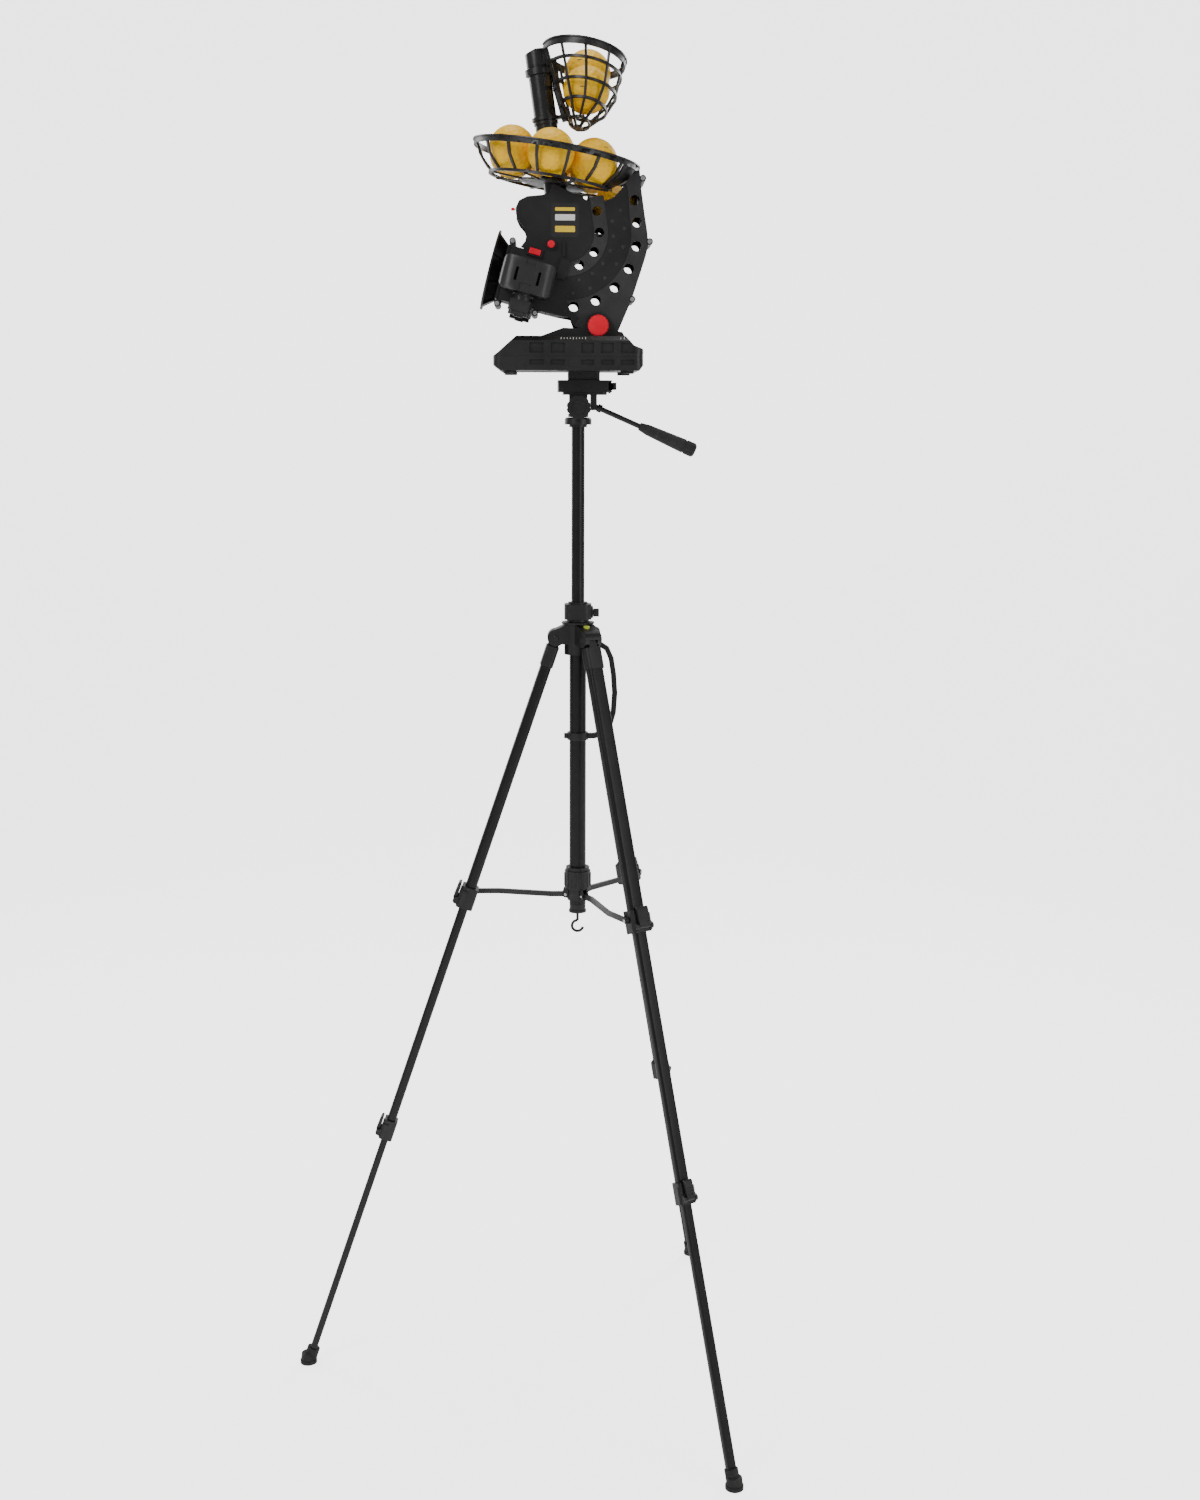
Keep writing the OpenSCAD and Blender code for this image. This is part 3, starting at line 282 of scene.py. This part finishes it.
for name, az in AZ.items():
    rad = Vector((math.cos(az), math.sin(az), 0))
    hinge = Vector((COL_X, 0, HINGE_Z)) + rad * HINGE_R
    down = rad * math.sin(SPREAD) - Vector((0, 0, math.cos(SPREAD)))

    def along(c, hinge=hinge, down=down):
        return (c - hinge).dot(down)

    paint(f"leg_{name}_upper", lambda c, f=along: 1 if f(c) < 0.0485 or f(c) > 0.4285 else 0, M["tube"], M["knob"])
    paint(f"leg_{name}_middle", lambda c, f=along: 1 if f(c) > 0.8495 else 0, M["tube"], M["knob"])
    paint(f"leg_{name}_lower", lambda c, f=along: 1 if f(c) > 1.279 else 0, M["tube"], M["rubber"])

# the raised track bands and pips get a lighter grey material: a painted highlight standing in for the light they catch
for side in ("front", "back"):
    paint(f"shell_{side}", lambda c: 1 if 0.0410 < abs(c.y) < 0.0419 else 0, M["shell"], M["band"])

# rounded edges on every CAD piece, without touching its mesh
BEVEL = {"shell_front": 0.0006, "shell_back": 0.0006, "base_lower_shell": 0.0018, "base_upper_shell": 0.0022, "wheel_covers": 0.0016,
         "camera_plate": 0.0009, "tilt_head": 0.0012, "pan_body": 0.0012, "shoulder": 0.0012, "tilt_saddle": 0.0009,
         "muzzle": 0.0005, "ball_tray": 0.0003, "upper_basket": 0.0003, "basket_post": 0.0006, "tilt_knob": 0.0008,
         "tilt_lock_knob": 0.0008, "carry_handle": 0.0014, "shell_screws": 0.00015, "feed_button": 0.0007, "power_switch": 0.0006}
for n, o in nodes.items():
    w = BEVEL.get(n, 0.0005)
    weld = o.modifiers.new("weld", "WELD")
    weld.merge_threshold = 0.000005
    bev = o.modifiers.new("round", "BEVEL")
    bev.width = w
    bev.segments = 2
    bev.limit_method = "ANGLE"
    bev.angle_limit = math.radians(38)
    bev.use_clamp_overlap = True
    bev.harden_normals = False
    for p in o.data.polygons:
        p.use_smooth = True
    wn = o.modifiers.new("normals", "WEIGHTED_NORMAL")
    wn.keep_sharp = False
    wn.weight = 80


def make(name, verts, faces, mat, body, smooth=False):
    me = bpy.data.meshes.new(name)
    me.from_pydata([tuple(v) for v in verts], [], faces)
    me.update()
    if smooth:
        for p in me.polygons:
            p.use_smooth = True
    me.materials.append(mat)
    o = bpy.data.objects.new(name, me)
    bpy.context.scene.collection.objects.link(o)
    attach(o, body)
    return o


# ---------------------------------------------------------------- practice balls with real dimples
BALL_R = 0.035


def fib(n):
    i = np.arange(n) + 0.5
    ph = np.arccos(1 - 2 * i / n)
    th = np.pi * (1 + 5 ** 0.5) * i
    return np.stack([np.cos(th) * np.sin(ph), np.sin(th) * np.sin(ph), np.cos(ph)], 1)


bm = bmesh.new()
bmesh.ops.create_icosphere(bm, subdivisions=6, radius=1.0)
unit = np.array([v.co[:] for v in bm.verts])
ball_faces = [[v.index for v in f.verts] for f in bm.faces]
bm.free()
unit /= np.linalg.norm(unit, axis=1)[:, None]
N_DIMPLES = 210
spots = fib(N_DIMPLES)
near = np.max(unit @ spots.T, axis=1)
ang = np.arccos(np.clip(near, -1, 1)) * BALL_R
DIMPLE_R, DIMPLE_D = 0.0036, 0.0007
t = np.clip(1 - (ang / DIMPLE_R) ** 2, 0, 1)
radius = BALL_R - DIMPLE_D * t ** 1.0 * (ang < DIMPLE_R)
# a faint mould seam round the middle
seam = np.exp(-((unit[:, 2] * BALL_R) / 0.0003) ** 2) * 0.00008
radius = radius - seam
shape = unit * radius[:, None]


def head_point(u, w):
    return HEAD + Vector((u, 0, w))


tray = Matrix.Translation((COL_X - 0.033, 0, 1.977)) @ Matrix.Rotation(math.radians(9.2), 4, "Y")
basket = Matrix.Translation((COL_X + 0.009, 0, 2.1205)) @ Matrix.Rotation(math.radians(-8), 4, "X") @ Matrix.Rotation(math.radians(9.5), 4, "Y")
centres = []
for a in (-40, -96, -152, 152, 96, 40):
    r = math.radians(a)
    centres.append(tray @ Vector((0.0755 * math.cos(r), 0.0755 * math.sin(r), -0.0092)))
lean = math.radians(8.5)
centres.append(head_point(0.080 * math.cos(lean) - 0.027 * math.sin(lean), 0.080 * math.sin(lean) + 0.027 * math.cos(lean)))
centres.append(basket @ Vector((0.012, -0.020, -0.058)))
centres.append(basket @ Vector((0.008, 0.037, -0.015)))
turns = [(0.3, 1.1, 0.2), (1.3, 0.4, 2.0), (2.2, 0.9, 0.7), (0.8, 2.1, 1.7), (2.9, 0.2, 1.1), (1.7, 1.5, 0.4), (0.5, 0.6, 2.6), (1.1, 2.6, 0.9), (2.4, 1.9, 1.3)]
balls = []
for i, (c, (ax, ay, az)) in enumerate(zip(centres, turns)):
    rot = (Matrix.Rotation(ax, 3, "X") @ Matrix.Rotation(ay, 3, "Y") @ Matrix.Rotation(az, 3, "Z"))
    pts = shape @ np.array(rot).T + np.array(c)
    me = bpy.data.meshes.new(f"practice_ball_{i + 1}")
    me.from_pydata(pts.tolist(), [], ball_faces)
    me.update()
    me.polygons.foreach_set("use_smooth", [True] * len(me.polygons))
    me.materials.append(M["foam"])
    me.materials.append(M["ink_brown"])
    o = bpy.data.objects.new(f"practice_ball_{i + 1}", me)
    bpy.context.scene.collection.objects.link(o)
    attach(o, "head")
    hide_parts("training_balls")
    balls.append(o)
    # a small plain printed dash, turned to a different side on each ball
    d = Vector((math.cos(ax * 1.7) * 0.55, -0.75, math.sin(ay * 1.3) * 0.45 + 0.1)).normalized()
    side = d.cross(Vector((0, 0, 1))).normalized()
    upv = side.cross(d)
    dirs = np.array([[p.center.x - c.x, p.center.y - c.y, p.center.z - c.z] for p in me.polygons]) / BALL_R
    front = dirs @ np.array(d) > 0.9
    su = dirs @ np.array(side) * BALL_R
    sv = dirs @ np.array(upv) * BALL_R
    mark = front & (np.abs(su) < 0.0034) & (np.abs(sv) < 0.0009)
    idx = mark.astype(int)
    me.polygons.foreach_set("material_index", idx.tolist())

# ---------------------------------------------------------------- rivets, screws and small fittings
def dome(name, centre, axis, r, h, mat, body, hole=0.0, seg=28):
    """A low domed head standing h proud of centre along axis, with a hollow in its middle for a rivet."""
    z = Vector(axis).normalized()
    x = z.orthogonal().normalized()
    y = z.cross(x)
    prof = [(r, -0.0004), (r, 0.0), (r * 0.96, h * 0.35), (r * 0.8, h * 0.72), (r * 0.55, h * 0.94), (max(hole, r * 0.25), h)]
    if hole:
        prof += [(hole * 0.9, h * 0.45), (0.0001, h * 0.3)]
    else:
        prof += [(0.0001, h)]
    verts, faces = [], []
    for pr, ph in prof:
        for k in range(seg):
            a = 2 * math.pi * k / seg
            verts.append(Vector(centre) + x * (pr * math.cos(a)) + y * (pr * math.sin(a)) + z * ph)
    for i in range(len(prof) - 1):
        for k in range(seg):
            faces.append((i * seg + k, i * seg + (k + 1) % seg, (i + 1) * seg + (k + 1) % seg, (i + 1) * seg + k))
    faces.append(tuple(range(seg - 1, -1, -1)))
    faces.append(tuple((len(prof) - 1) * seg + k for k in range(seg)))
    return make(name, verts, faces, mat, body, smooth=True)


for name, az in AZ.items():
    rad = Vector((math.cos(az), math.sin(az), 0))
    tan = Vector((-math.sin(az), math.cos(az), 0))
    col = Vector((COL_X, 0, 0))
    # rivet through the arm's outer end, on both faces
    end = col + rad * 0.180 + Vector((0, 0, 0.819))
    dome(f"rivet_{name}_outer", end - tan * 0.0187, tan, 0.0030, 0.0013, M["rivet"], f"{name}_brace", hole=0.0012)
    dome(f"rivet_{name}_outer_back", end - tan * 0.0255, -tan, 0.0027, 0.0009, M["rivet"], f"{name}_brace", hole=0.0010)
    hubp = col + rad * 0.020 + Vector((0, 0, 0.819))
    for s in (-1, 1):
        dome(f"rivet_{name}_hub_{'a' if s < 0 else 'b'}", hubp + tan * (s * 0.00605), tan * s, 0.0024, 0.0008, M["rivet"], "brace_hub", hole=0.0009)
        # leg hinge screw heads in the shoulder's ears
        hp = col + rad * HINGE_R + Vector((0, 0, HINGE_Z))
        dome(f"screw_{name}_hinge_{'a' if s < 0 else 'b'}", hp + tan * (s * 0.01495), tan * s, 0.0042, 0.0012, M["darkmetal"], "stand", hole=0.0018)


def plate(name, origin, ex, ey, w, h, mat, body, thick=0.00012, r=0.0):
    """A thin printed or stuck patch with rounded corners, its face looking along ex x ey."""
    n = ex.cross(ey).normalized()
    pts = []
    if r <= 0:
        pts = [(-w / 2, -h / 2), (w / 2, -h / 2), (w / 2, h / 2), (-w / 2, h / 2)]
    else:
        for cx, cy, a0 in ((w / 2 - r, -h / 2 + r, -90), (w / 2 - r, h / 2 - r, 0), (-w / 2 + r, h / 2 - r, 90), (-w / 2 + r, -h / 2 + r, 180)):
            for k in range(6):
                a = math.radians(a0 + 18 * k)
                pts.append((cx + r * math.cos(a), cy + r * math.sin(a)))
    verts = [origin + ex * x + ey * y for x, y in pts] + [origin + ex * x + ey * y + n * thick for x, y in pts]
    k = len(pts)
    faces = [tuple(range(k - 1, -1, -1)), tuple(range(k, 2 * k))] + [(i, (i + 1) % k, k + (i + 1) % k, k + i) for i in range(k)]
    return make(name, verts, faces, mat, body)


X, Z = Vector((1, 0, 0)), Vector((0, 0, 1))
# plain label on the side of the head: a dark square with simple bars, no words
lab = HEAD + Vector((-0.001, -0.0404, 0.0186))
plate("label_back", lab, X, Z, 0.042, 0.050, M["ink_dark"], "head", 0.00015, 0.003)
plate("label_bar_top", lab + Vector((0, -0.00014, 0.016)), X, Z, 0.030, 0.005, M["ink_yellow"], "head", 0.00008, 0.0012)
plate("label_bar_mid", lab + Vector((0, -0.00014, 0.004)), X, Z, 0.030, 0.009, M["ink_white"], "head", 0.00008, 0.0012)
plate("label_bar_low", lab + Vector((0, -0.00014, -0.013)), X, Z, 0.030, 0.009, M["ink_yellow"], "head", 0.00008, 0.0012)

# index marks on the front slope of the base deck, under the head
slope = Vector((0, 1, 1)).normalized()
for i in range(9):
    tall = 0.0044 if i % 4 == 0 else 0.0028
    plate(f"deck_tick_{i + 1}", Vector((COL_X - 0.0275 + 0.0046 * i, -0.0766, 1.7004)), X, slope, 0.0010, tall, M["ink_white"], "platform", 0.00008)
for i in range(3):
    plate(f"deck_tick_right_{i + 1}", Vector((COL_X + 0.0625 + 0.0052 * i, -0.0766, 1.7004)), X, slope, 0.0010, 0.0034, M["ink_white"], "platform", 0.00008)
plate("deck_pointer", Vector((COL_X + 0.0355, -0.0766, 1.7002)), X, slope, 0.0085, 0.0024, M["red"], "platform", 0.0001, 0.0011)

# ---------------------------------------------------------------- stage, light and camera
floor_me = bpy.data.meshes.new("floor")
sweep = [(-6.0, 0.0)]
prof = [(-7.0, 0.0), (3.2, 0.0)]
for k in range(1, 17):
    a = math.radians(90 * k / 16)
    prof.append((3.2 + 1.8 * math.sin(a), 1.8 - 1.8 * math.cos(a)))
prof.append((5.0, 8.0))
verts, faces = [], []
for x in (-9.0, 9.0):
    for y, z in prof:
        verts.append((x, y, z))
k = len(prof)
for i in range(k - 1):
    faces.append((i, k + i, k + i + 1, i + 1))
floor_me.from_pydata(verts, [], faces)
floor_me.update()
for p in floor_me.polygons:
    p.use_smooth = True
m, nt, b = new_mat("studio_paper")
v = coords(nt)
nt.links.new(mix_color(nt, remap(nt, noise(nt, v, 3.0), 0, 1), (0.93, 0.93, 0.93), (0.95, 0.95, 0.95)), b.inputs["Base Color"])
nt.links.new(remap(nt, noise(nt, v, 40.0), 0.75, 0.85), b.inputs["Roughness"])
b.inputs["Specular IOR Level"].default_value = 0.2
b.inputs["Emission Color"].default_value = (1, 1, 1, 1)
path = nt.nodes.new("ShaderNodeLightPath")
nt.links.new(remap(nt, path.outputs["Is Camera Ray"], 0.35, 2.6, 0, 1), b.inputs["Emission Strength"])
floor_me.materials.append(m)
floor = bpy.data.objects.new("floor", floor_me)
bpy.context.scene.collection.objects.link(floor)

world = bpy.data.worlds.new("studio") if not bpy.context.scene.world else bpy.context.scene.world
bpy.context.scene.world = world
world.use_nodes = True
bg = next(n for n in world.node_tree.nodes if n.type == "BACKGROUND")
bg.inputs["Color"].default_value = (1.0, 1.0, 1.0, 1)
bg.inputs["Strength"].default_value = 0.3


def area(name, loc, target, sx, sy, power, color=(1, 1, 1)):
    l = bpy.data.lights.new(name, "AREA")
    l.shape = "RECTANGLE"
    l.size, l.size_y = sx, sy
    l.energy = power
    l.color = color
    o = bpy.data.objects.new(name, l)
    o.location = loc
    d = (Vector(target) - Vector(loc)).normalized()
    o.rotation_euler = d.to_track_quat("-Z", "Y").to_euler()
    bpy.context.scene.collection.objects.link(o)
    return o


area("key", (-2.0, -2.6, 3.4), (0.1, 0, 1.6), 1.6, 1.6, 62)
area("fill", (2.6, -2.4, 2.0), (0.1, 0, 1.3), 1.2, 2.0, 26)
area("top", (0.1, 0.3, 4.4), (0.1, 0, 1.5), 1.6, 1.4, 46)
area("rim", (1.8, 2.4, 2.6), (0.1, 0, 1.7), 0.8, 1.8, 34)
area("rim_left", (-2.2, 2.2, 2.2), (0.1, 0, 1.7), 0.8, 1.8, 24)

cam_data = bpy.data.cameras.new("camera")
cam_data.sensor_fit = "AUTO"
cam_data.sensor_width = 36.0
cam_data.lens = 1846.767 / 1500 * 36.0
cam_data.clip_start, cam_data.clip_end = 0.05, 60
cam_data.dof.use_dof = False
cam = bpy.data.objects.new("camera", cam_data)
bpy.context.scene.collection.objects.link(cam)
yaw, pitch, roll = math.radians(1.9796), math.radians(-10.3052), math.radians(-0.1972)
cy, sy, cp, sp, cr, sr = math.cos(yaw), math.sin(yaw), math.cos(pitch), math.sin(pitch), math.cos(roll), math.sin(roll)
R = Matrix(((1, 0, 0), (0, cp, sp), (0, -sp, cp))) @ Matrix(((cy, -sy, 0), (sy, cy, 0), (0, 0, 1)))
Rt = R.transposed()
right, up, fwd = Rt @ Vector((cr, 0, -sr)), Rt @ Vector((sr, 0, cr)), Rt @ Vector((0, 1, 0))
mw = Matrix((( right.x, up.x, -fwd.x, -0.0651 + COL_X), (right.y, up.y, -fwd.y, -2.9204), (right.z, up.z, -fwd.z, 1.588), (0, 0, 0, 1)))
cam.matrix_world = mw
bpy.context.scene.camera = cam

bpy.context.view_layer.update()
